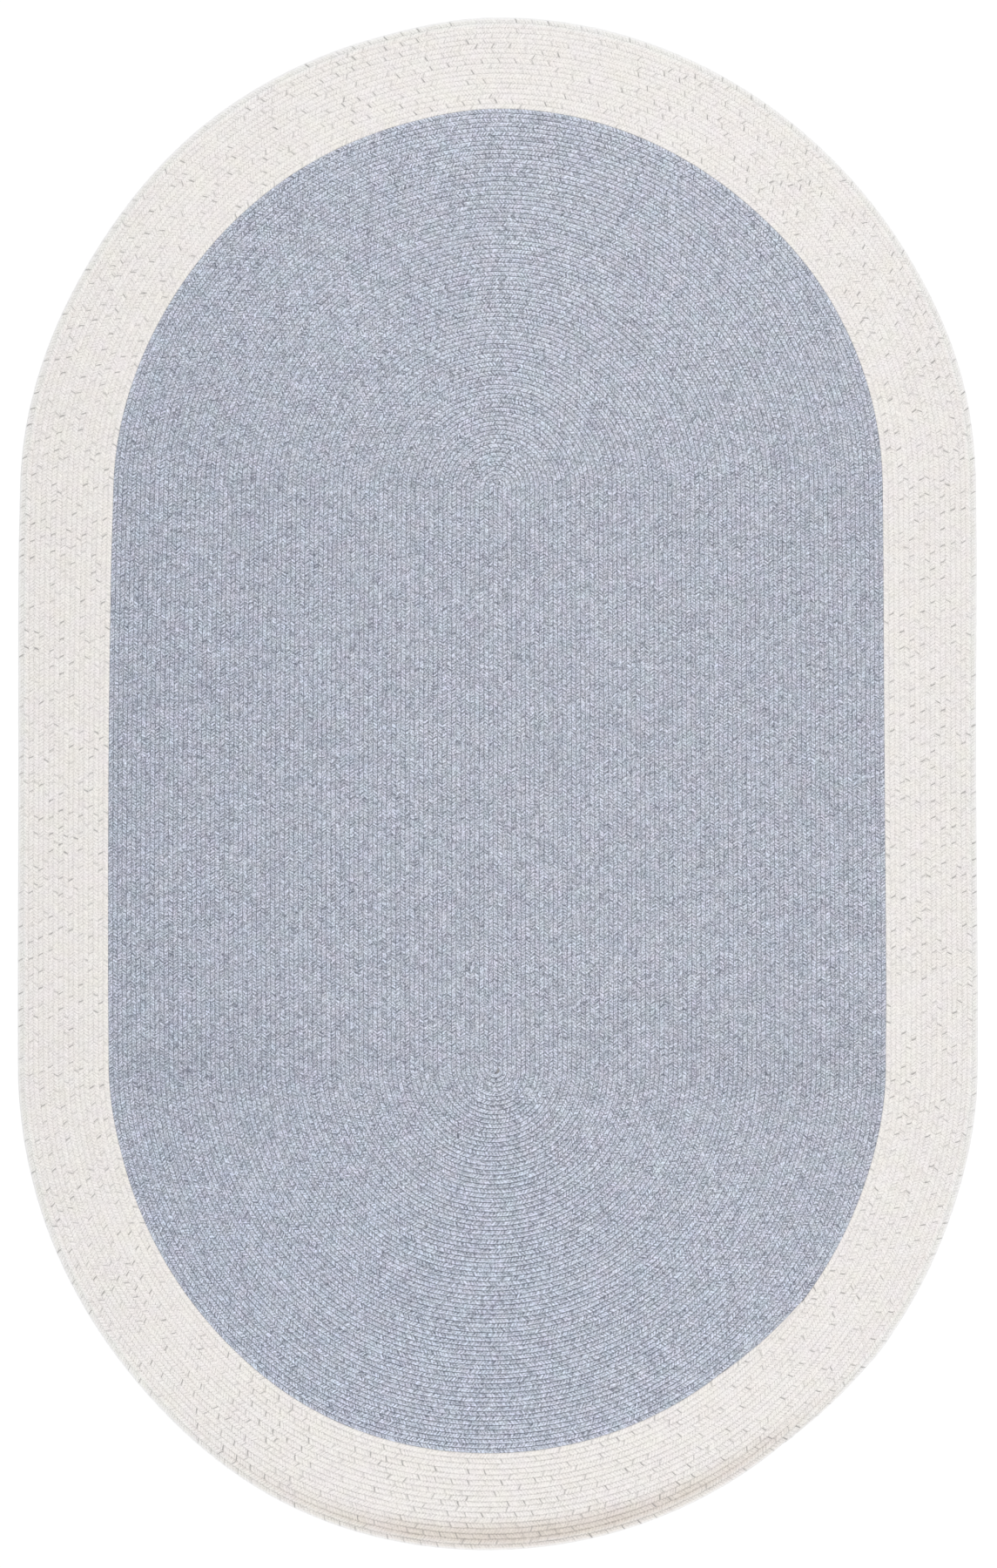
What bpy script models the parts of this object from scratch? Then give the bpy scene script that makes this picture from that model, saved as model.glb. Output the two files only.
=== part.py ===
"""An oval braided rug, 5 ft by 8 ft, lying flat.

One blue-grey braid starts with a straight run along the middle and is sewn round and round
itself, clockwise. An ivory braid is spliced to its end and goes on for the border. Both are
solid here, with every round raised as a rib and the underside flat.

Metres, +Z up, the rug's length along Y. The origin is on the floor under the middle of the rug.
"""

import math

import bmesh
import bpy

# Driving dimensions, in metres.
CORE_LENGTH = 0.9214  # the first straight run, between the centres of the two rounded ends
THICKNESS = 0.0080  # floor to the crest of a round
VALLEY_HEIGHT = 0.0052  # floor to the seam between two rounds
RIM_HEIGHT = 0.0030  # floor to where the outermost round turns down
RIM_FALL = 0.0040  # how far the rim hangs where the border droops fully
RIM_FALL_ROUNDS = 2.0  # the droop dies out this many rounds in from the rim
LOWEST_EDGE = 0.0018  # the rim's side is never lower than this
GAP = 0.0003  # between the two braids where they are sewn together
CENTRE_ROUNDS = 42  # rounds of blue-grey braid, counted on either side
BORDER_ROUNDS = 9  # rounds of ivory braid

# Facets. A turn goes up the left side, round the top, down the right side, round the bottom.
SIDE_STEPS = 2
END_STEPS = 20
TURN_STEPS = 2 * (SIDE_STEPS + END_STEPS)

# A place on a turn: 0 to 1 is the left side, 1 to 2 the top end, 2 to 3 the right side and
# 3 to 4 the bottom end. Each row says how wide a braid is laid there, which makes the oval
# slightly uneven, and how much of RIM_FALL the rim has.
PLACES = (
    {"place": 0.000, "centre": 0.01473, "border": 0.01600, "fall": 0.0},
    {"place": 0.500, "centre": 0.01474, "border": 0.01585, "fall": 0.0},
    {"place": 1.000, "centre": 0.01455, "border": 0.01640, "fall": 0.0},
    {"place": 1.167, "centre": 0.01426, "border": 0.01590, "fall": 0.0},
    {"place": 1.278, "centre": 0.01420, "border": 0.01620, "fall": 0.0},
    {"place": 1.417, "centre": 0.01424, "border": 0.01590, "fall": 0.0},
    {"place": 1.500, "centre": 0.01437, "border": 0.01600, "fall": 0.0},
    {"place": 1.722, "centre": 0.01431, "border": 0.01600, "fall": 0.0},
    {"place": 1.833, "centre": 0.01446, "border": 0.01580, "fall": 0.0},
    {"place": 1.944, "centre": 0.01455, "border": 0.01650, "fall": 0.0},
    {"place": 2.500, "centre": 0.01464, "border": 0.01615, "fall": 0.0},
    {"place": 3.000, "centre": 0.01468, "border": 0.01620, "fall": 0.0},
    {"place": 3.111, "centre": 0.01451, "border": 0.01620, "fall": 0.0},
    {"place": 3.222, "centre": 0.01445, "border": 0.01630, "fall": 0.1},
    {"place": 3.333, "centre": 0.01459, "border": 0.01680, "fall": 0.7},
    {"place": 3.500, "centre": 0.01474, "border": 0.01710, "fall": 1.0},
    {"place": 3.639, "centre": 0.01482, "border": 0.01700, "fall": 0.5},
    {"place": 3.778, "centre": 0.01466, "border": 0.01630, "fall": 0.0},
    {"place": 3.917, "centre": 0.01463, "border": 0.01640, "fall": 0.0},
)
PLACES_IN_TURN = 4.0

# Both braids end in the lower right, tapering to nothing over two facets.
TAPER_FROM = 3.20
TAPER_TO = 3.30

# Yarn colours, linear, with the roughness of dull spun yarn.
YARNS = {
    "blue_grey_yarn": (0.434, 0.462, 0.527, 1.0),
    "ivory_yarn": (0.831, 0.799, 0.775, 1.0),
}
YARN_ROUGHNESS = 0.9
CREASE_ANGLE = math.radians(60)
SAME_POINT = 1e-6


def table_value(place, column):
    """A column of PLACES at any place, on a smooth curve through its rows."""
    rows = PLACES
    place = place % PLACES_IN_TURN
    at = max(n for n, row in enumerate(rows) if row["place"] <= place)

    def row(step):
        turns, n = divmod(at + step, len(rows))
        return rows[n]["place"] + turns * PLACES_IN_TURN, rows[n][column]

    before, here, there, after = row(-1), row(0), row(1), row(2)
    span = there[0] - here[0]
    share = (place - here[0]) / span
    slope_here = (there[1] - before[1]) / (there[0] - before[0]) * span
    slope_there = (after[1] - here[1]) / (after[0] - here[0]) * span
    return (
        here[1] * (1 + 2 * share) * (1 - share) ** 2
        + slope_here * share * (1 - share) ** 2
        + there[1] * share**2 * (3 - 2 * share)
        + slope_there * share**2 * (share - 1)
    )


def growth(place):
    """The part of a round that a turn has moved outwards, all of it round the bottom end."""
    return max(place - 3, 0)


def tapered(place):
    """How much of a braid's last round has gone at this place of its turn."""
    return min(max((place - TAPER_FROM) / (TAPER_TO - TAPER_FROM), 0), 1)


def colour_line(place):
    """Rounds from the core to where the border begins."""
    return CENTRE_ROUNDS + growth(place) - tapered(place)


def rim_line(place):
    """Rounds from the core to the rim."""
    return colour_line(place) + BORDER_ROUNDS


def radius(place, rounds):
    """Distance from the core, for a line that lies so many rounds out."""
    inside = min(rounds, colour_line(place))
    return inside * table_value(place, "centre") + (rounds - inside) * table_value(place, "border")


def laid(place, distance):
    """The point at a distance from the core, before the rug is centred."""
    half = CORE_LENGTH / 2
    if place <= 1:
        return -distance, -half + place * CORE_LENGTH
    if place <= 2:
        angle = math.pi * (2 - place)
        return distance * math.cos(angle), half + distance * math.sin(angle)
    if place <= 3:
        return distance, half - (place - 2) * CORE_LENGTH
    angle = -math.pi * (place - 3)
    return distance * math.cos(angle), -half + distance * math.sin(angle)


def place_of(step):
    """The place of a facet's edge, counted from the start of its turn."""
    for start, steps in enumerate((SIDE_STEPS, END_STEPS, SIDE_STEPS, END_STEPS)):
        if step < steps:
            return start + step / steps
        step -= steps
    return PLACES_IN_TURN


def middle_of_rug():
    """The middle of the box round the rim, which becomes the origin."""
    rim = [laid(p, radius(p, rim_line(p))) for p in map(place_of, range(TURN_STEPS + 1))]
    return [(min(side) + max(side)) / 2 for side in zip(*rim)]


def height(place, rounds, full):
    """A height, lowered where the border's rim droops."""
    from_rim = rim_line(place) - rounds
    if from_rim < SAME_POINT:
        full = RIM_HEIGHT
    droop = max(1 - from_rim / RIM_FALL_ROUNDS, 0) ** 2
    fall = RIM_FALL * max(table_value(place, "fall"), 0)
    return max(full - fall * droop, LOWEST_EDGE)


def point(place, rounds, full, clearance):
    """A point on top of the rug. On the colour line it stands back by half the gap."""
    distance = radius(place, rounds)
    if abs(rounds - colour_line(place)) < SAME_POINT:
        distance += clearance
    x, y = laid(place, distance)
    return x - MIDDLE[0], y - MIDDLE[1], height(place, rounds, full)


def cross_section(edge, inner, outer, clearance):
    """Seam, crest and seam of a braid at one facet's edge. The crest sinks as it tapers."""
    place = place_of(edge % TURN_STEPS)
    crest = VALLEY_HEIGHT + (THICKNESS - VALLEY_HEIGHT) * (outer - inner)
    return (
        point(place, inner, VALLEY_HEIGHT, clearance),
        point(place, (inner + outer) / 2, crest, clearance),
        point(place, outer, VALLEY_HEIGHT, clearance),
    )


def edge_at(rounds, place):
    """The number of the facet's edge at a place, in a braid's turn after so many rounds."""
    steps = next(n for n in range(TURN_STEPS) if abs(place_of(n) - place) < SAME_POINT)
    return rounds * TURN_STEPS + steps


def add_face(mesh, corners):
    mesh.faces.new([mesh.verts.new(corner) for corner in corners])


def add_braid(mesh, sections):
    """Two strips of facets along a braid, one on each side of its crest."""
    for near, far in zip(sections, sections[1:]):
        add_face(mesh, (near[0], far[0], far[1], near[1]))
        add_face(mesh, (near[1], far[1], far[2], near[2]))


def add_rounded_start(mesh, start):
    """Closes the braid's first end, inside the first turn round the bottom of the core."""
    first = edge_at(0, 3.0)
    seam = [
        point(place_of(n), growth(place_of(n)), VALLEY_HEIGHT, 0)
        for n in range(first, TURN_STEPS + 1)
    ]
    for near, far in zip(seam, seam[1:]):
        add_face(mesh, (start[1], near, far))


def close_below(mesh):
    """Walls from the open edges down to the floor, and a flat underside."""
    open_edges = [edge for edge in mesh.edges if edge.is_boundary]
    walls = bmesh.ops.extrude_edge_only(mesh, edges=open_edges)["geom"]
    for vert in walls:
        if isinstance(vert, bmesh.types.BMVert):
            vert.co.z = 0
    floor = [edge for edge in mesh.edges if edge.is_boundary]
    bmesh.ops.triangle_fill(mesh, edges=floor, use_beauty=True)
    bmesh.ops.recalc_face_normals(mesh, faces=mesh.faces)


def yarn(name):
    material = bpy.data.materials.new(name)
    material.use_nodes = True
    shader = material.node_tree.nodes["Principled BSDF"]
    shader.inputs["Base Color"].default_value = YARNS[name]
    shader.inputs["Roughness"].default_value = YARN_ROUGHNESS
    shader.inputs["Metallic"].default_value = 0
    return material


def make_object(name, mesh, material):
    bmesh.ops.remove_doubles(mesh, verts=mesh.verts, dist=SAME_POINT)
    close_below(mesh)
    data = bpy.data.meshes.new(name)
    mesh.to_mesh(data)
    mesh.free()
    data.materials.append(material)
    data.shade_smooth()
    data.set_sharp_from_angle(angle=CREASE_ANGLE)
    made = bpy.data.objects.new(name, data)
    bpy.context.scene.collection.objects.link(made)


def make_centre_braid():
    """The blue-grey braid, from the core to the splice in its last turn."""
    last = edge_at(CENTRE_ROUNDS - 1, TAPER_TO)
    sections = []
    for edge in range(last + 1):
        place = place_of(edge % TURN_STEPS)
        inner = edge // TURN_STEPS + growth(place)
        outer = min(inner + 1, colour_line(place))
        sections.append(cross_section(edge, inner, outer, -GAP / 2))
    mesh = bmesh.new()
    add_braid(mesh, sections)
    add_rounded_start(mesh, sections[0])
    make_object("centre_braid", mesh, yarn("blue_grey_yarn"))


def make_border_braid():
    """The ivory braid, from the splice to its tapered end at the rim."""
    first = edge_at(CENTRE_ROUNDS - 1, TAPER_FROM)
    last = edge_at(CENTRE_ROUNDS + BORDER_ROUNDS - 1, TAPER_TO)
    sections = []
    for edge in range(first, last + 1):
        place = place_of(edge % TURN_STEPS)
        rounds = edge // TURN_STEPS + growth(place)
        inner = max(rounds, colour_line(place))
        outer = min(rounds + 1, rim_line(place))
        sections.append(cross_section(edge, inner, outer, GAP / 2))
    mesh = bmesh.new()
    add_braid(mesh, sections)
    make_object("border_braid", mesh, yarn("ivory_yarn"))


for old in list(bpy.data.objects):
    bpy.data.objects.remove(old)
MIDDLE = middle_of_rug()
make_centre_braid()
make_border_braid()
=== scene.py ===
import math
from types import SimpleNamespace

import bpy
import numpy as np
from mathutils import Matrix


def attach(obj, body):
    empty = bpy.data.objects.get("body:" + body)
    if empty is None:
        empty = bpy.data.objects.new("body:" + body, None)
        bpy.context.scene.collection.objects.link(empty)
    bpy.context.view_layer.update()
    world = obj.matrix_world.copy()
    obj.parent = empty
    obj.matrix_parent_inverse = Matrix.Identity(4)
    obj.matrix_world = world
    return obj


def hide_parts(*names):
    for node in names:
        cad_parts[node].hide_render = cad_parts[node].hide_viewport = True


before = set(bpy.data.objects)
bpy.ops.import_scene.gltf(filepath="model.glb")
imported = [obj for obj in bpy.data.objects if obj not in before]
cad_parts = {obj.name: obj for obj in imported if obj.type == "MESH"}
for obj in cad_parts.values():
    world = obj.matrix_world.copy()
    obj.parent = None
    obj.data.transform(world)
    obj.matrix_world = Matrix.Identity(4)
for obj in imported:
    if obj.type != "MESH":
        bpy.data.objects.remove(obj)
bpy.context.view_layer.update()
print("frame loaded")


class Wire:
    # One socket of a node tree. Sums written with wires add the Math nodes.
    def __init__(self, tree, socket=None):
        self.tree, self.socket = tree, socket

    def add(self, kind, settings=(), inputs=(), output=0):
        node = self.tree.nodes.new(kind)
        for name, value in dict(settings).items():
            if name == "choices":  # an Index Switch has this many
                while len(node.index_switch_items) < value:
                    node.index_switch_items.new()
            else:
                setattr(node, name, value)
        for name, value in dict(inputs).items():
            if isinstance(value, Wire):
                self.tree.links.new(value.socket, node.inputs[name])
            else:
                node.inputs[name].default_value = value
        return Wire(self.tree, node.outputs[output] if node.outputs else None)

    def also(self, output):  # another output of the same node
        return Wire(self.tree, self.socket.node.outputs[output])

    def split(self):  # a vector's x, y and z
        x = self.add("ShaderNodeSeparateXYZ", (), {0: self})
        return x, x.also("Y"), x.also("Z")

    def maths(self, operation, *values):
        return self.add("ShaderNodeMath", {"operation": operation}, dict(enumerate(values)))

    def __add__(self, other):
        return self.maths("ADD", self, other)

    def __radd__(self, other):
        return self.maths("ADD", other, self)

    def __sub__(self, other):
        return self.maths("SUBTRACT", self, other)

    def __rsub__(self, other):
        return self.maths("SUBTRACT", other, self)

    def __mul__(self, other):
        return self.maths("MULTIPLY", self, other)

    def __rmul__(self, other):
        return self.maths("MULTIPLY", other, self)

    def __truediv__(self, other):
        return self.maths("DIVIDE", self, other)

    def __rtruediv__(self, other):
        return self.maths("DIVIDE", other, self)

    def __pow__(self, other):
        return self.maths("POWER", self, other)

    def __rpow__(self, other):
        return self.maths("POWER", other, self)

    def __mod__(self, other):
        return self.maths("FLOORED_MODULO", self, other)

    def __rmod__(self, other):
        return self.maths("FLOORED_MODULO", other, self)

    def __gt__(self, other):
        return self.maths("GREATER_THAN", self, other)

    def __lt__(self, other):
        return self.maths("LESS_THAN", self, other)

    def __abs__(self):
        return self.maths("ABSOLUTE", self)

    def floor(self):
        return self.maths("FLOOR", self)

    def atLeast(self, other):
        return self.maths("MAXIMUM", self, other)

    def atMost(self, other):
        return self.maths("MINIMUM", self, other)

    def ease(self, low, high, start=0.0, end=1.0):  # a soft step
        settings = {"interpolation_type": "SMOOTHSTEP"}
        sizes = {"Value": self, "From Min": low, "From Max": high, "To Min": start, "To Max": end}
        return self.add("ShaderNodeMapRange", settings, sizes)

    def vector(self, x, y, z=0.0):
        return self.add("ShaderNodeCombineXYZ", (), {0: x, 1: y, 2: z})

    def noise(self, place, scale=1.0, detail=0.0, rough=0.5):
        settings = {"noise_dimensions": "3D", "normalize": True}
        sizes = {"Vector": place, "Scale": scale, "Detail": detail, "Roughness": rough}
        return self.add("ShaderNodeTexNoise", settings, sizes)

    def chance(self, x, y, z):  # 0 to 1, without a pattern
        settings = {"noise_dimensions": "3D"}
        return self.add("ShaderNodeTexWhiteNoise", settings, {"Vector": self.vector(x, y, z)})

    def blend(self, share, first, second, way="MIX"):  # of two colours
        settings = {"data_type": "RGBA", "blend_type": way}
        return self.add("ShaderNodeMix", settings, {0: share, 6: first, 7: second}, 2)


# The way the braid is laid. A turn goes up the left side (places 0 to 1), round the top (1 to 2),
# down the right side (2 to 3) and round the bottom (3 to 4), where the spiral moves outwards.
placesInTurn = 4
rug = {
    "coreLength": 0.9214,  # the first straight run
    "centreRounds": 42,
    "borderRounds": 9,
    "taperFrom": 3.20,  # both braids end in the lower right
    "taperTo": 3.30,
    "thinnest": 0.07,  # a tapered end, in rounds
    "sideSteps": 8,
    "endSteps": 96,
    "startDepth": 0.0088,  # the rounded start, below the core
    "startSteps": 6,
    "startTip": 0.1,  # how wide it begins, in rounds
    "seamWander": 0.00022,  # sewn seams are never quite even
    "evenTurns": 4,  # the wander grows over the first few turns
    "seamWaves": ((7.3, 0.4), (11.9, 2.2), (19.1, 5.1), (31.7, 1.3)),  # pace and start of each
}
# How wide each colour is laid at a place, and how much of the rim's fall there is
laidWidths = [
    {"place": 0.000, "centre": 0.01473, "border": 0.01600, "fall": 0.0},
    {"place": 0.500, "centre": 0.01474, "border": 0.01585, "fall": 0.0},
    {"place": 1.000, "centre": 0.01455, "border": 0.01640, "fall": 0.0},
    {"place": 1.167, "centre": 0.01426, "border": 0.01590, "fall": 0.0},
    {"place": 1.278, "centre": 0.01420, "border": 0.01620, "fall": 0.0},
    {"place": 1.417, "centre": 0.01424, "border": 0.01590, "fall": 0.0},
    {"place": 1.500, "centre": 0.01437, "border": 0.01600, "fall": 0.0},
    {"place": 1.722, "centre": 0.01431, "border": 0.01600, "fall": 0.0},
    {"place": 1.833, "centre": 0.01446, "border": 0.01580, "fall": 0.0},
    {"place": 1.944, "centre": 0.01455, "border": 0.01650, "fall": 0.0},
    {"place": 2.500, "centre": 0.01464, "border": 0.01615, "fall": 0.0},
    {"place": 3.000, "centre": 0.01468, "border": 0.01620, "fall": 0.0},
    {"place": 3.111, "centre": 0.01451, "border": 0.01620, "fall": 0.0},
    {"place": 3.222, "centre": 0.01445, "border": 0.01630, "fall": 0.1},
    {"place": 3.333, "centre": 0.01459, "border": 0.01680, "fall": 0.7},
    {"place": 3.500, "centre": 0.01474, "border": 0.01710, "fall": 1.0},
    {"place": 3.639, "centre": 0.01482, "border": 0.01700, "fall": 0.5},
    {"place": 3.778, "centre": 0.01466, "border": 0.01630, "fall": 0.0},
    {"place": 3.917, "centre": 0.01463, "border": 0.01640, "fall": 0.0},
]


def tableValue(place, column):
    # A smooth curve through the table's rows, which close on themselves
    place = place % placesInTurn
    at = max(n for n, row in enumerate(laidWidths) if row["place"] <= place)

    def row(step):
        turns, n = divmod(at + step, len(laidWidths))
        return laidWidths[n]["place"] + turns * placesInTurn, laidWidths[n][column]

    before, here, there, after = row(-1), row(0), row(1), row(2)
    span = there[0] - here[0]
    share = (place - here[0]) / span
    slopeHere = (there[1] - before[1]) / (there[0] - before[0]) * span
    slopeThere = (after[1] - here[1]) / (after[0] - here[0]) * span
    return (
        here[1] * (1 + 2 * share) * (1 - share) ** 2
        + slopeHere * share * (1 - share) ** 2
        + there[1] * share**2 * (3 - 2 * share)
        + slopeThere * share**2 * (share - 1)
    )


def growth(place):
    # The part of a round that a turn has moved outwards
    return max(place - 3, 0)


def tapered(place):
    # How much of a braid's last round has gone
    return min(max((place - rug["taperFrom"]) / (rug["taperTo"] - rug["taperFrom"]), 0), 1)


def colourLine(place):
    # Rounds from the core to the border
    return rug["centreRounds"] + growth(place) - tapered(place)


def rimLine(place):
    return colourLine(place) + rug["borderRounds"]


def laid(place, distance):
    # The point at a distance from the core, before the rug is centred
    half = rug["coreLength"] / 2
    if place <= 1:
        return -distance, -half + place * rug["coreLength"]
    if place <= 2:
        angle = math.pi * (2 - place)
        return distance * math.cos(angle), half + distance * math.sin(angle)
    if place <= 3:
        return distance, half - (place - 2) * rug["coreLength"]
    angle = -math.pi * (place - 3)
    return distance * math.cos(angle), -half + distance * math.sin(angle)


def allSpots():
    # Places round one turn, each with what the table's columns say there
    made = []
    for quarter in range(placesInTurn):
        steps = rug["sideSteps"] if quarter % 2 == 0 else rug["endSteps"]
        for n in range(steps):
            place = quarter + n / steps
            values = (tableValue(place, column) for column in ("centre", "border", "fall"))
            made.append((place, *values))
    return made


def distanceOf(spot, rounds):
    place, centre, border, _ = spot
    inside = min(rounds, colourLine(place))
    return inside * centre + (rounds - inside) * border


def wander(turns):
    size = rug["seamWander"] * min(max(turns, 0) / rug["evenTurns"], 1)
    return size * sum(math.sin(turns * pace * 2 + start) for pace, start in rug["seamWaves"]) / 2


spots = allSpots()
rimCorners = np.array([laid(spot[0], distanceOf(spot, rimLine(spot[0]))) for spot in spots])
middle = (rimCorners.min(0) + rimCorners.max(0)) / 2  # the rug's middle is the origin


def seamAt(spot, rounds):
    # A point of the seam that lies so many rounds out
    turns = rounds - growth(spot[0]) + spot[0] / placesInTurn
    x, y = laid(spot[0], distanceOf(spot, rounds) + wander(turns))
    return x - middle[0], y - middle[1], 0.0


def sectionsOf(colour, first, last):
    # Each section has both edges of the braid, and how it lies to the rim
    made = []
    for turn in range(int(first[0]), int(last[0]) + 1):
        for spot in spots:
            place, fall = spot[0], max(spot[3], 0)
            if not first <= (turn, place) <= last:
                continue
            inner = turn + growth(place)
            outer = inner + 1
            if colour == "centre":
                outer = min(outer, colourLine(place))
            else:
                inner, outer = max(inner, colourLine(place)), min(outer, rimLine(place))
            inner = min(inner, outer - rug["thinnest"])
            fromRim = rimLine(place) - (inner + outer) / 2
            rimFacts = (fromRim, fall, outer - inner)
            made.append((seamAt(spot, inner), seamAt(spot, outer), rimFacts))
    return made


def roundedStart(section):
    # The braid's first end, below the core
    inner, outer, rimFacts = (np.array(part) for part in section)
    across = outer - inner
    made = []
    for n in range(rug["startSteps"]):
        angle = n / rug["startSteps"] * math.pi / 2
        wide = max(math.sin(angle), rug["startTip"]) / 2
        centre = (inner + outer) / 2 - (0, math.cos(angle) * rug["startDepth"], 0)
        made.append((centre - across * wide, centre + across * wide, rimFacts))
    return made


def makePath(name, sections):
    # The middle line of a braid, which carries its two edges. Also gives its length.
    table = np.array([[np.array(part, float) for part in section] for section in sections])
    line = (table[:, 0] + table[:, 1]) / 2
    mesh = bpy.data.meshes.new(name)
    mesh.from_pydata(line.tolist(), [(n, n + 1) for n in range(len(line) - 1)], [])
    for column, label in enumerate(("innerEdge", "outerEdge", "rimFacts")):
        held = mesh.attributes.new(label, "FLOAT_VECTOR", "POINT")
        held.data.foreach_set("vector", table[:, column].astype(np.float32).ravel())
    return mesh, float(np.linalg.norm(np.diff(line, axis=0), axis=1).sum())


# The braid's cross-section, walked over the top from the inner seam and back below. A corner
# without a height lies on the floor.
crossSection = [
    {"across": -1.0, "height": "Seam height", "crest": 0, "middle": 0},  # inner seam
    {"across": -0.5, "height": "Crest height", "crest": 1, "middle": 0},
    {"across": 0.0, "height": "Middle height", "crest": 0, "middle": 1},
    {"across": 0.5, "height": "Crest height", "crest": 1, "middle": 0},
    {"across": 1.0, "height": "Seam height", "crest": 0, "middle": 0},  # outer seam
    {"across": 0.0, "height": None, "crest": 0, "middle": 0},
]
corners = len(crossSection)
ringsPerStroke = 2
braidSizes = {
    "Crest height": 0.0077,
    "Middle height": 0.0062,
    "Seam height": 0.0061,
    "Full width": 0.8,  # a tapered braid is as high as the others from this width on, in rounds
    "Rim height": 0.0030,
    "Rim turn": 0.32,  # the outermost round turns down over this part of its width
    "Rim fall": 0.0036,
    "Fall rounds": 2.0,  # the fall dies out this many rounds in from the rim
    "Lowest": 0.0018,
    "Relief": 0.00022,  # a strand stands this far above and below the crest
    "Interlock": 0.03,  # strands of one half reach this far over the middle
    "Pace": 0.026,  # it is braided tighter and looser by stretches, which shifts the strands
    "Pace change": 0.004,  # how quickly that changes from ring to ring
    "Pace ends": 300.0,  # it begins and ends over this many rings
}


def buildBraidTree():
    tree = bpy.data.node_groups.new("plaitAlongPath", "GeometryNodeTree")
    sockets = [
        ("Path", "INPUT", "NodeSocketGeometry"),
        ("First ring", "INPUT", "NodeSocketInt"),
        ("Rings", "INPUT", "NodeSocketInt"),
        ("Last ring", "INPUT", "NodeSocketInt"),
        ("Stroke", "INPUT", "NodeSocketFloat"),
        ("Slant", "INPUT", "NodeSocketFloat"),
        *((name, "INPUT", "NodeSocketFloat") for name in braidSizes),
        ("Yarn", "INPUT", "NodeSocketMaterial"),
        ("Braid", "OUTPUT", "NodeSocketGeometry"),
    ]
    for name, way, kind in sockets:
        tree.interface.new_socket(name=name, in_out=way, socket_type=kind)
    wire = Wire(tree)
    given = wire.add("NodeGroupInput").also

    line = wire.add("GeometryNodeCurvePrimitiveLine")
    counted = wire.add("GeometryNodeResampleCurve", {}, {"Curve": line, "Count": given("Rings")})
    ring = wire.add("GeometryNodeCurvePrimitiveCircle", {}, {"Resolution": corners})
    inputs = {"Curve": counted, "Profile Curve": ring, "Fill Caps": True}
    tube = wire.add("GeometryNodeCurveToMesh", {}, inputs)

    index = wire.add("GeometryNodeInputIndex")
    ringNumber = (index / corners).floor()
    corner = index % corners

    def cornerValue(values):
        inputs = {"Index": corner, **{n + 1: value for n, value in enumerate(values)}}
        settings = {"data_type": "FLOAT", "choices": corners}
        return wire.add("GeometryNodeIndexSwitch", settings, inputs)

    across = cornerValue([row["across"] for row in crossSection])
    crest = cornerValue([row["crest"] for row in crossSection])
    inMiddle = cornerValue([row["middle"] for row in crossSection])
    named = [row["height"] for row in crossSection]
    height = cornerValue([given(name) if name else 0.0 for name in named])
    top = cornerValue([1.0 if name else 0.0 for name in named])

    number = given("First ring") + ringNumber
    # 1 where the outer half's strands crest, -1 where the inner's do
    beat = 1 - (number % ringsPerStroke) * 2
    dip = (1 - beat * wire.maths("SIGN", across)) * 0.5  # 1 between two strands of this half
    spread = across - inMiddle * beat * given("Interlock")

    pace = wire.noise(wire.vector(number * given("Pace change"), 0.0, 2.7), 1.0, 1.0) - 0.5
    started = number.ease(0.0, given("Pace ends"))
    unfinished = (given("Last ring") - number).ease(0.0, given("Pace ends"))
    pace = pace * given("Pace") * started * unfinished
    length = number * given("Stroke") / ringsPerStroke + pace - abs(across) * given("Slant")
    length = length.atLeast(0.0)
    path = wire.add("GeometryNodeMeshToCurve", {}, {"Mesh": given("Path")})

    def alongPath(label):
        settings = {"data_type": "FLOAT_VECTOR"}
        held = wire.add("GeometryNodeInputNamedAttribute", settings, {"Name": label})
        settings = {"data_type": "FLOAT_VECTOR", "mode": "LENGTH", "use_all_curves": False}
        inputs = {"Curves": path, "Value": held, "Length": length}
        return wire.add("GeometryNodeSampleCurve", settings, inputs)

    middleFromRim, fall, width = alongPath("rimFacts").split()
    fromRim = (middleFromRim - spread * 0.5 * width).atLeast(0.0)

    height = height - crest * given("Relief") * (dip * 2 - 1)
    seam = given("Seam height")
    height = seam + (height - seam) * width.ease(0.0, given("Full width"))
    droop = (1 - fromRim / given("Fall rounds")).atLeast(0.0) ** 2 * given("Rim fall") * fall
    edge = (1 - fromRim / given("Rim turn")).atLeast(0.0) * (seam - given("Rim height"))
    height = (height - droop - edge).atLeast(given("Lowest")) * top

    settings = {"data_type": "VECTOR", "clamp_factor": False}
    inputs = {0: (spread + 1) * 0.5, 4: alongPath("innerEdge"), 5: alongPath("outerEdge")}
    flat = wire.add("ShaderNodeMix", settings, inputs, 1)
    inputs = {0: flat, 1: wire.vector(0.0, 0.0, height)}
    place = wire.add("ShaderNodeVectorMath", {"operation": "ADD"}, inputs)
    moved = wire.add("GeometryNodeSetPosition", {}, {"Geometry": tube, "Position": place})
    settings = {"data_type": "FLOAT_VECTOR"}
    inputs = {"Geometry": moved, "Name": "toRim", "Value": wire.vector(fromRim, fall)}
    noted = wire.add("GeometryNodeStoreNamedAttribute", settings, inputs)
    smooth = wire.add("GeometryNodeSetShadeSmooth", {}, {"Geometry": noted})
    real = wire.add("GeometryNodeRealizeInstances", {}, {"Geometry": smooth})
    inputs = {"Geometry": real, "Material": given("Yarn")}
    dyed = wire.add("GeometryNodeSetMaterial", {}, inputs)
    wire.add("NodeGroupOutput", {}, {"Braid": dyed})
    return tree


braidTree = buildBraidTree()
creaseAngle = math.radians(78)

# The map for baking the braid's look
bakeMap = {
    "across": (0.0, 0.18, 0.42, 0.66, 0.84, 0.92, 1.0),  # where each corner lies in its row
    "ringStep": 2.6,  # millimetres between two rings
    "girth": 22,  # millimetres round the braid
    "shrink": 0.998,  # leaves a margin
    "margin": 0.001,
}


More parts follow.
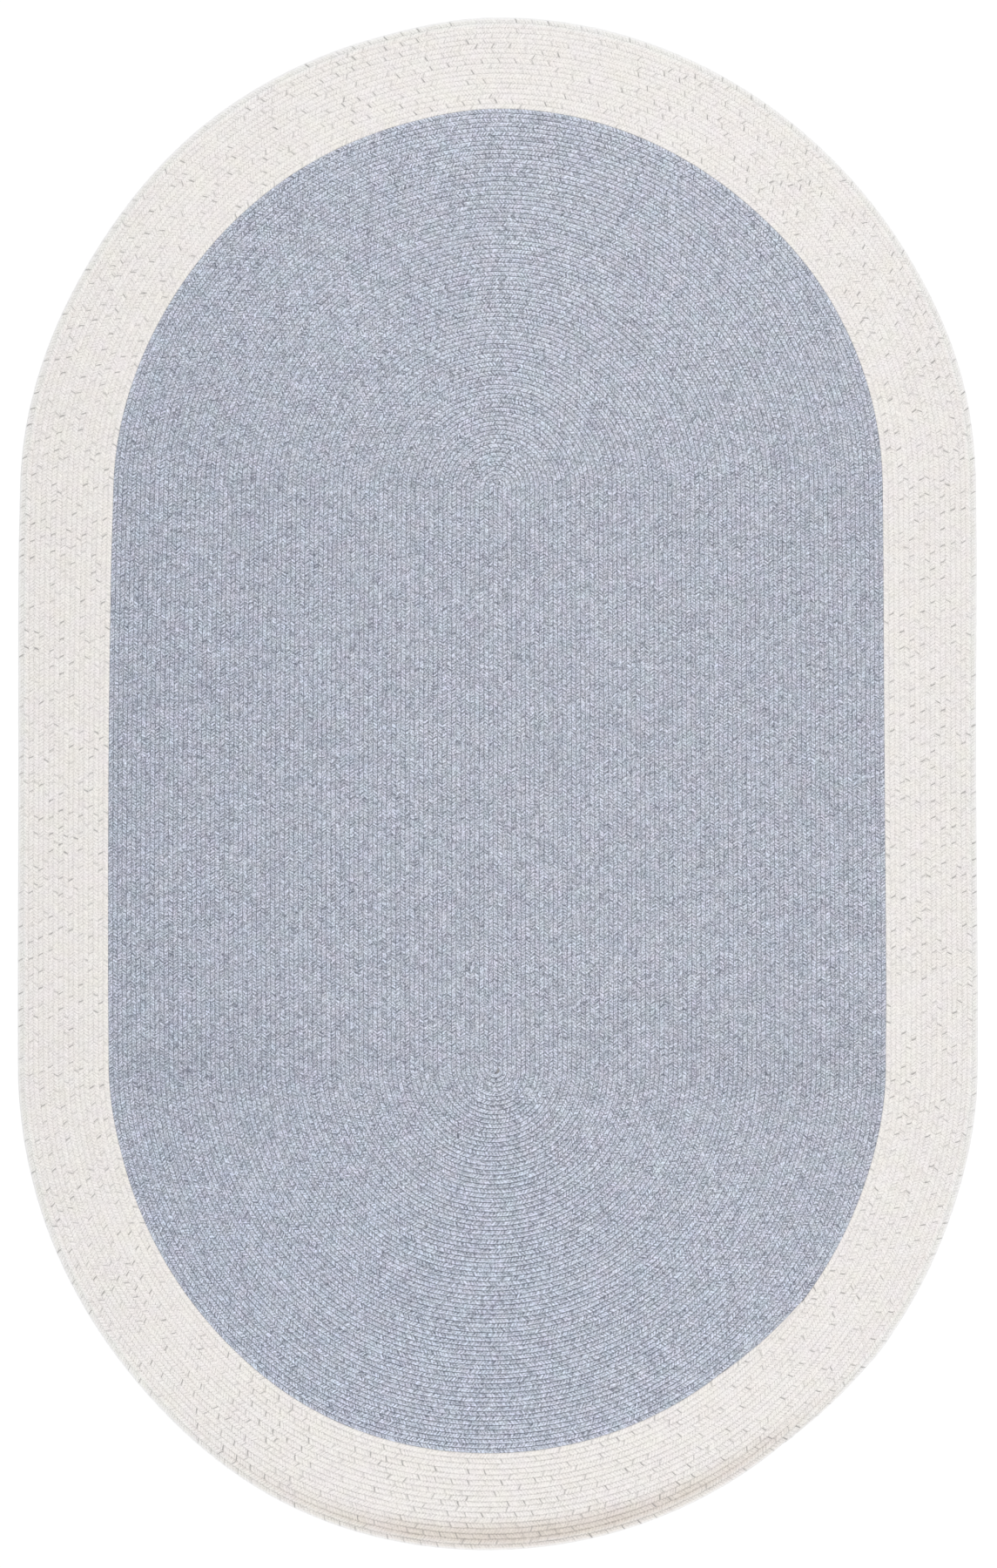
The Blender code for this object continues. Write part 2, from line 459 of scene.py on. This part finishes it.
def addMaps(mesh, firstRing, rings):
    # One map counts strokes along the braid and half widths across it. The other lays the
    # braid's length in rows, so that the bake has even detail.
    points = np.zeros(len(mesh.loops), np.int32)
    mesh.loops.foreach_get("vertex_index", points)
    starts = np.zeros(len(mesh.polygons), np.int32)
    mesh.polygons.foreach_get("loop_start", starts)
    face = np.repeat(np.arange(len(starts)), np.diff(np.append(starts, len(points))))
    ring, corner = points // corners, points % corners
    lowest = np.minimum.reduceat(corner, starts)[face]
    highest = np.maximum.reduceat(corner, starts)[face]
    firstOfFace = np.minimum.reduceat(ring, starts)[face]
    closing = (lowest == 0) & (highest == corners - 1)  # from below back to the inner seam
    across = np.array([row["across"] for row in crossSection])[corner]
    across = np.where(corner == corners - 1, np.where(closing, -2.0, 2.0), across)
    strokes = (firstRing + ring) / ringsPerStroke
    lay = mesh.uv_layers.new(name="alongBraid")
    lay.data.foreach_set("uv", np.stack([strokes, across], 1).astype(np.float32).ravel())

    rows = max(round(math.sqrt(rings * bakeMap["ringStep"] / bakeMap["girth"])), 1)
    perRow = math.ceil((rings - 1) / rows)
    row = np.minimum(firstOfFace // perRow, rows - 1)
    step = np.where(closing & (corner == 0), corners, corner)
    up = (row + np.array(bakeMap["across"])[step]) / rows
    baked = np.stack([(ring - row * perRow) / perRow, up], 1)
    baked = baked * bakeMap["shrink"] + bakeMap["margin"]
    lay = mesh.uv_layers.new(name="OFBake")
    lay.data.foreach_set("uv", baked.astype(np.float32).ravel())


def plaitedMesh(path, values):
    # The tree's result along a path, as a plain mesh
    holder = bpy.data.objects.new("pathHolder", path)
    bpy.context.scene.collection.objects.link(holder)
    modifier = holder.modifiers.new("plait", "NODES")
    modifier.node_group = braidTree
    for item in braidTree.interface.items_tree:
        if item.in_out == "INPUT" and item.name in values:
            modifier[item.identifier] = values[item.name]
    shaped = holder.evaluated_get(bpy.context.evaluated_depsgraph_get())
    plain = bpy.data.meshes.new_from_object(shaped)
    bpy.data.objects.remove(holder)
    for extra in [a.name for a in plain.attributes if a.name in ("innerEdge", "outerEdge")]:
        plain.attributes.remove(plain.attributes[extra])
    return plain


def makeLengths(piece, yarn):
    # The braid is cut into lengths, only to keep each mesh small
    sections = sectionsOf(piece["colour"], piece["from"], piece["to"])
    if piece["colour"] == "centre":
        sections = roundedStart(sections[0]) + sections
    path, total = makePath(piece["name"] + "Path", sections)
    strokes = round(total / piece["stroke"])
    allRings = strokes * ringsPerStroke
    perLength = math.ceil(strokes / piece["lengths"]) * ringsPerStroke
    sizes = {
        **braidSizes,
        "Stroke": total / strokes,
        "Slant": piece["slant"] * piece["halfWidth"],
        "Last ring": allRings,
        "Yarn": yarn,
    }
    for n in range(piece["lengths"]):
        first = n * perLength
        rings = min(perLength, allRings - first) + 1
        plain = plaitedMesh(path, {**sizes, "First ring": first, "Rings": rings})
        plain.name = f"{piece['name']}{n + 1}"
        addMaps(plain, first, rings)
        plain.set_sharp_from_angle(angle=creaseAngle)
        part = bpy.data.objects.new(plain.name, plain)
        bpy.context.scene.collection.objects.link(part)
        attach(part, "root")
        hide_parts(piece["replaces"])
        cut = (piece["halfWidth"] * 2, round(total * (rings - 1) / allRings, 3))
    print(f"{piece['name']}: {total:.1f} m of braid, {strokes} strokes, {n + 1} lengths")


# What both colours of yarn share. Lengths along the braid count strokes, across it half widths.
plaiting = {
    "swayAlong": 0.8,  # how quickly the strands sway
    "swayAcross": 0.9,
    # Painted shade: a dark line along each seam and along the furrow in the middle of the braid
    "lineTo": 0.985,  # the dark line along each edge is darkest here
    # Painted shade in the gaps between strands
    "gapFrom": 0.42,  # the gap at a strand's side, counted from its middle
    "gapTo": 0.49,
    "gapAtEnds": 0.08,  # wider there
    "gapDepth": 1.25,
    "gapLeast": 0.08,
    # Painted highlight along each strand's crest, and painted shade towards its sides
    "crestMean": 0.33,
    "crestMost": 1.3,
    "crestChance": 0.6,
    # How deep the painted shade in the seams and furrows is, deeper where the rows lie across the
    # light
    "depthAlong": 0.12,  # how quickly the seams' depth changes
    "depthMost": 1.7,
    "depthLeast": 0.05,
    "depthOnSides": 0.68,
    "depthTurned": 0.3,  # more where the braid has turned
    "depthLower": 0.5,  # and more again at the lower end
    "clearTurn": (0.05, 0.65),
    "clearAside": (-0.15, 0.2),
    # Painted light and shade across each half of the braid at the ends
    "slopeShade": 1.5,
    "slopeShadeLevel": 0.5,
    "slopeShadeTurned": 0.6,
    "slopeShadeLower": 0.4,
    "twist": 0.3,  # of the fibres in a strand
    "apart": (7.1, 0.37),  # steps in the noise from strand to strand
    "fibreRough": 0.6,
    "patchScale": 9.0,
    "rough": 0.86,
    "smoother": 0.1,  # on light fibres
    "fibreHeight": 0.00035,
    "fleeceHeight": 0.00012,
    "bump": 0.8,
    "gloss": 0.25,
    "sheen": 0.06,
    "sheenRough": 0.6,
}


def newYarn(name):
    material = bpy.data.materials.new(name)
    material.use_nodes = True
    material.node_tree.nodes.clear()
    return material, Wire(material.node_tree)


def strands(wire, look):
    # Finds the strand at each point of the plait: its number, how far across it the point is
    # (-0.5 to 0.5), and how far out on its half of the braid (0 in the middle, 1 at a seam).
    ways = plaiting
    strokes, across, _ = wire.add("ShaderNodeUVMap", {"uv_map": "alongBraid"}).split()
    sway = wire.vector(strokes * ways["swayAlong"], across * ways["swayAcross"])
    sway = wire.noise(sway) - 0.5
    outer = across > 0
    counted = strokes + outer * 0.5 + sway * look["sway"]
    number = counted.floor()
    within = counted - number - 0.5
    out = 1 - abs(abs(across) - 1)
    below = abs(across) > 1
    # Painted shade in the gaps between strands, of all depths, and widest at a strand's ends
    # Painted shade along each seam, and along the furrow in the middle of the braid
    seam = out.ease(look["line"], ways["lineTo"])
    furrow = out.ease(1 - look["line"], 1 - ways["lineTo"])  # in the middle of the braid
    chance = wire.chance((counted + 0.5).floor(), outer + below * 2, 5.9)
    gap = (abs(within) + (seam + furrow) * ways["gapAtEnds"]).ease(ways["gapFrom"], ways["gapTo"])
    gap = gap * (chance**2 * ways["gapDepth"] + ways["gapLeast"])
    # Painted highlight along the strand's crest and painted shade towards its sides
    crest = ways["crestMean"] - (within * 2) ** 2  # nothing on the whole
    crest = crest * (ways["crestMost"] - chance * ways["crestChance"])

    # turned is 0 on the straight sides and 1 straight above and below the end centres. beyond
    # says how many metres a point lies past the core's ends.
    spot = wire.add("ShaderNodeTexCoord", {}, {}, "Object")
    x, y, _ = spot.split()
    beyond = (abs(y) - rug["coreLength"] / 2).atLeast(0.0)
    turned = beyond / (beyond**2 + x**2 + 1e-6) ** 0.5
    lower = y < 0
    # The painted shade in seams and furrows changes in depth by stretches, and is deeper where
    # the braid turns round the rug's ends, where the rows lie across the light. It is deeper
    # again at the upper right, where the rounds show most clearly.
    clear = turned.ease(*ways["clearTurn"]) * (y > 0) * x.ease(*ways["clearAside"])
    depth = wire.noise(wire.vector(strokes * ways["depthAlong"], outer * 9 + below * 5))
    depth = (depth * ways["depthMost"]).atLeast(ways["depthLeast"])
    turnedShade = turned**2 * (lower * ways["depthLower"] + ways["depthTurned"])
    depth = depth * (turnedShade + ways["depthOnSides"]) + clear * look["clearer"]
    # Painted light and shade: at the ends each half of the braid is lighter towards its outer
    # edge and darker towards its inner one, as if it leaned up towards its outer edge
    slopeShade = (across - across.floor()) ** 2 * ways["slopeShade"] - ways["slopeShadeLevel"]
    slopeShade = slopeShade * turned**2 * (lower * ways["slopeShadeLower"] + ways["slopeShadeTurned"])
    # Fibres run along the strand, a little twisted, under a finer fleece
    lie = wire.vector(
        within * look["fibresAcross"] + abs(across) * ways["twist"] + number * ways["apart"][0],
        across * look["fibresAlong"],
        number * ways["apart"][1],
    )
    return SimpleNamespace(
        strokes=strokes,
        outer=outer,
        below=below,
        number=number,
        within=within,
        out=out,
        gap=gap,
        crest=crest,
        seamShade=seam * depth + furrow * depth,
        slopeShade=slopeShade,
        spot=spot,
        x=x,
        y=y,
        beyond=beyond,
        turned=turned,
        clear=clear,
        fibres=wire.noise(lie, 1.0, 1.0, ways["fibreRough"]),
        fleece=wire.noise(spot, look["fleeceScale"], 1.0, ways["fibreRough"]),
    )


def toneOf(wire, plait, seamShade, look):
    # How light the yarn is. Each pair in look is what holds on the straight sides, and how much
    # more of it there is where the braid has turned.
    def amount(name):
        straight, more = look[name]
        return plait.turned * more + straight

    tone = amount("tone") + (plait.fibres - 0.5) * amount("fibres")
    tone = tone + (plait.fleece - 0.5) * amount("fleece")
    # Painted highlight on the crests, painted shade in the gaps, seams and furrows, and painted
    # light and shade in the slope at the ends
    tone = tone + plait.crest * amount("crest") - plait.gap * amount("gap")
    tone = tone - seamShade * amount("seamShade") + plait.slopeShade * look["slopeShade"]
    patches = wire.noise(plait.spot, plaiting["patchScale"], 1.0) - 0.5
    return tone + patches * look["patches"]


def dyeAndShade(wire, plait, tone, look):
    # The tone carries the yarn's own heather and the painted light and shade alike
    # From dark to light, with red, green and blue each straying a little on their own
    colour = wire.blend(tone.atLeast(0.0).atMost(1.0), look["dark"], look["light"])
    own = wire.noise(plait.spot, look["strayScale"], 1.0).also("Color")
    inputs = {0: own, 1: look["stray"], 2: [1 - amount / 2 for amount in look["stray"]]}
    near = wire.add("ShaderNodeVectorMath", {"operation": "MULTIPLY_ADD"}, inputs)
    return wire.blend(1.0, colour, near, "MULTIPLY")


def finishYarn(wire, plait, colour, look):
    height = (1 - (plait.within * 2) ** 2) * look["strandHeight"]
    height = height + plait.fibres * plaiting["fibreHeight"]
    height = height + plait.fleece * plaiting["fleeceHeight"]
    sizes = {"Strength": plaiting["bump"], "Distance": 1.0, "Height": height}
    bump = wire.add("ShaderNodeBump", {}, sizes)
    sizes = {
        "Base Color": colour,
        "Roughness": plaiting["rough"] - plait.fibres * plaiting["smoother"],
        "Normal": bump,
        "Specular IOR Level": plaiting["gloss"],
        "Sheen Weight": plaiting["sheen"],
        "Sheen Roughness": plaiting["sheenRough"],
    }
    shader = wire.add("ShaderNodeBsdfPrincipled", {}, sizes)
    wire.add("ShaderNodeOutputMaterial", {}, {"Surface": shader})


blueGrey = {
    "dark": (0.102, 0.113, 0.146, 1),
    "light": (0.757, 0.793, 0.895, 1),
    "stray": (0.125, 0.08, 0.07),
    "strayScale": 38.0,
    "sway": 0.35,
    # The dark line along each edge of the braid is painted shade in the groove
    "line": 0.865,  # how far out the dark line along each edge of the braid begins
    "clearer": 0.3,  # how much deeper that line is at the upper right
    "fibresAcross": 5.8,
    "fibresAlong": 0.6,
    "fleeceScale": 780.0,
    "strandHeight": 0.00025,
    "tone": (0.521, 0.065),
    "fibres": (2.3, 0.8),
    "fleece": (3.75, 0.6),
    "crest": (0.14, 0.05),
    "gap": (1.33, 0.02),
    "seamShade": (0.82, 0.08),
    "slopeShade": 0.34,
    "patches": 0.06,
    # Painted light past the core's ends and painted shade on the left side
    "endsLighter": 0.07,  # for each metre
    "leftDarker": 0.05,
    # Painted light that makes up for the deeper painted shade in the lines at the upper right
    "clearLighter": 0.038,  # makes up for the deeper lines
    # A painted shadow across where the lower end begins to turn
    "dip": 0.035,
    "shadowFrom": (-0.36, -0.43),
    "shadowTo": (-0.505, -0.485),
    "shadowAside": (0.18, 0.35),
    # Painted shade: a cooler, bluer cast to the left and at the lower end
    "bluer": (0.981, 0.997, 1.018, 1),  # to the left and at the lower end
    "bluerFrom": (-0.35, -0.8),
    "bluerLower": 0.65,
    "bluerLeft": 0.75,
    "bluerAll": 0.07,
}


def makeBlueGrey(look):
    material, wire = newYarn("blueGreyHeather")
    plait = strands(wire, look)
    x, y = plait.x, plait.y
    tone = toneOf(wire, plait, plait.seamShade, look)
    # Painted light towards the ends and painted shade on the left, as the light falls on the rug;
    # more painted light where the painted lines are deeper
    tone = tone + plait.beyond * look["endsLighter"] + x.atMost(0.0) * look["leftDarker"]
    tone = tone + plait.clear * look["clearLighter"]
    # A painted shadow, a little darker, across where the lower end begins to turn
    dip = y.ease(*look["shadowFrom"]) * y.ease(*look["shadowTo"]) * abs(x).ease(*look["shadowAside"])
    colour = dyeAndShade(wire, plait, tone - dip * look["dip"], look)
    # Painted shade: a little bluer to the left and at the lower end, where less light falls
    share = y.ease(*look["bluerFrom"]) * look["bluerLower"] - x * look["bluerLeft"]
    colour = wire.blend(share + look["bluerAll"], colour, look["bluer"], "MULTIPLY")
    finishYarn(wire, plait, colour, look)
    return material


ivory = {
    "dark": (0.435, 0.414, 0.398, 1),
    "light": (0.860, 0.828, 0.805, 1),
    "stray": (0.0, 0.05, 0.08),
    "strayScale": 34.0,
    "sway": 0.4,
    "line": 0.71,
    "clearer": 0.0,
    "fibresAcross": 2.9,
    "fibresAlong": 0.7,
    "fleeceScale": 640.0,
    "strandHeight": 0.00035,
    "tone": (0.79, 0.075),
    "fibres": (0.66, 0),
    "fleece": (1.56, 0),
    "crest": (0.14, 0),
    "gap": (0.36, 0),
    "seamShade": (0.275, 0),
    "slopeShade": 0.2,
    "patches": 0.05,
    "drooping": (0.845, 0.80, 0.758, 1),  # in the shade of the falling rim
    "droopRounds": (3.3, 1.35),  # from the rim, as droopEdge, rimRounds and fringeRounds are
    "droopLate": 1.5,  # where it hardly falls, the shade reaches this much less far
    "droopEdge": (0.5, 0.85, 0.5),  # only half as much on the outermost round
    "droopSeams": 0.5,
    # Painted light on the outermost round, paler and a little cooler
    "rim": (1.0, 1.022, 1.022, 1),
    "rimRounds": (0.85, 0.55),
    "fringe": (0.95, 0.945, 0.94, 1),
    "fringeRounds": (0.27, 0.02, 0.0, 0.62),
}
# The grey filament lies along one side of its strand and shows by stretches
filament = {
    "colour": (0.155, 0.15, 0.147, 1),
    "every": 5,  # it comes up every fifth stroke
    "later": 2.0,  # on the inner half, so many strokes after the outer
    "stretchAlong": 0.035,
    "stretch": 2.4,
    "chance": 0.9,
    "hidden": 0.38,
    "outerMore": 0.22,
    "most": 0.66,
    "aside": 0.20,  # from the strand's middle
    "slant": 0.14,
    "waver": 0.4,
    "width": (0.32, 0.06),
    "from": (0.0, 0.12),
    "to": (1.02, 0.9),
}


def filamentShare(wire, plait):
    thin = filament
    own = wire.chance(plait.number, plait.outer + plait.below * 2, 9.1)
    turn = (1 - plait.outer) * thin["later"]
    here = wire.maths("COMPARE", plait.number % thin["every"], turn, 0.1)
    stretch = wire.vector(plait.strokes * thin["stretchAlong"], plait.outer * 9.0, 4.0)
    stretch = wire.noise(stretch, 1.0, 1.0) - 0.5
    shows = stretch * thin["stretch"] + own * thin["chance"] - thin["hidden"]
    shows = (shows + plait.outer * thin["outerMore"]).atLeast(0.0).atMost(thin["most"])
    off = plait.within + thin["aside"] - plait.out * thin["slant"]
    off = abs(off + (plait.fibres - 0.5) * thin["waver"])
    reach = plait.out.ease(*thin["from"]) * plait.out.ease(*thin["to"])
    return here * off.ease(*thin["width"]) * reach * shows


def makeIvory(look):
    material, wire = newYarn("ivoryYarn")
    plait = strands(wire, look)
    # The rounds inside a drooping rim get painted shade. Elsewhere the outermost one is painted
    # paler and a little cooler, as light from the white floor beside it, and loose fibres lighten
    # the very rim.
    toRim = wire.add("ShaderNodeAttribute", {"attribute_name": "toRim"}, {}, "Vector")
    fromRim, fall, _ = toRim.split()
    droop = (fromRim + (1 - fall) * look["droopLate"]).ease(*look["droopRounds"])
    droop = droop * fall * fromRim.ease(*look["droopEdge"])
    pale = fromRim.ease(*look["rimRounds"]) * (1 - fall)
    tone = toneOf(wire, plait, plait.seamShade * (droop * look["droopSeams"] + 1), look)
    colour = dyeAndShade(wire, plait, tone, look)
    colour = wire.blend(droop, colour, look["drooping"], "MULTIPLY")
    colour = wire.blend(pale, colour, look["rim"], "MULTIPLY")
    colour = wire.blend(fromRim.ease(*look["fringeRounds"]), colour, look["fringe"])
    colour = wire.blend(filamentShare(wire, plait), colour, filament["colour"])
    finishYarn(wire, plait, colour, look)
    return material


centreBraid = {
    "name": "centreBraid",
    "colour": "centre",
    "from": (0, 0.0),  # the turn, and the place on it
    "to": (rug["centreRounds"] - 1, rug["taperTo"]),
    "stroke": 0.00521,
    "slant": 0.6,
    "halfWidth": 0.0073,
    "lengths": 6,
    "replaces": "centre_braid",
    "slot": "blue_grey_yarn",
}
borderBraid = {
    "name": "borderBraid",
    "colour": "border",
    "from": (rug["centreRounds"] - 1, rug["taperFrom"]),
    "to": (rug["centreRounds"] + rug["borderRounds"] - 1, rug["taperTo"]),
    "stroke": 0.00530,
    "slant": 0.6,
    "halfWidth": 0.0081,
    "lengths": 2,
    "replaces": "border_braid",
    "slot": "ivory_yarn",
}

makeLengths(centreBraid, makeBlueGrey(blueGrey))
makeLengths(borderBraid, makeIvory(ivory))

stageSizes = {
    "floorSide": 30.0,
    "floorColour": (0.96, 0.96, 0.96, 1),
    "floorRough": 0.9,
    "skyColour": (1, 1, 1, 1),
    "skyStrength": 0.62,
    "lampPower": 58.0,
    "lampSide": 2.6,
    "lampsAt": [(0.25, 2.0, 3.6), (0.25, -1.9, 3.6)],
}


def makeStage(sizes):
    half = sizes["floorSide"] / 2
    mesh = bpy.data.meshes.new("floor")
    square = [(-half, -half, 0), (half, -half, 0), (half, half, 0), (-half, half, 0)]
    mesh.from_pydata(square, [], [(0, 1, 2, 3)])
    floor = bpy.data.objects.new("floor", mesh)
    bpy.context.scene.collection.objects.link(floor)
    pale = bpy.data.materials.new("paleFloor")
    pale.use_nodes = True
    shader = pale.node_tree.nodes["Principled BSDF"]
    shader.inputs["Base Color"].default_value = sizes["floorColour"]
    shader.inputs["Roughness"].default_value = sizes["floorRough"]
    mesh.materials.append(pale)

    world = bpy.data.worlds.new("softLight")
    world.use_nodes = True
    sky = world.node_tree.nodes["Background"]
    sky.inputs["Color"].default_value = sizes["skyColour"]
    sky.inputs["Strength"].default_value = sizes["skyStrength"]
    bpy.context.scene.world = world

    data = bpy.data.lights.new("softbox", "AREA")
    data.energy, data.size = sizes["lampPower"], sizes["lampSide"]
    for spot in sizes["lampsAt"]:
        lamp = bpy.data.objects.new("softbox", data)
        bpy.context.scene.collection.objects.link(lamp)
        lamp.location = spot
        lamp.rotation_euler = (math.atan2(-spot[1], spot[2]), 0, 0)  # towards the rug's middle


makeStage(stageSizes)

view = {
    "frameHeight": 2.494,  # metres that the picture's height takes in
    "lens": 100.0,
    "sensor": 36.0,
    "clip": 100,
    "aside": 0.001,  # the photo's middle lies this far to the right of the rug's
}
data = bpy.data.cameras.new("fromAbove")
data.lens, data.sensor_width = view["lens"], view["sensor"]
data.clip_end = view["clip"]
camera = bpy.data.objects.new("fromAbove", data)
bpy.context.scene.collection.objects.link(camera)
camera.location = (view["aside"], 0, view["frameHeight"] * view["lens"] / view["sensor"])
bpy.context.scene.camera = camera
bpy.context.scene.view_settings.view_transform = "Standard"

print("stage, light and camera ready")
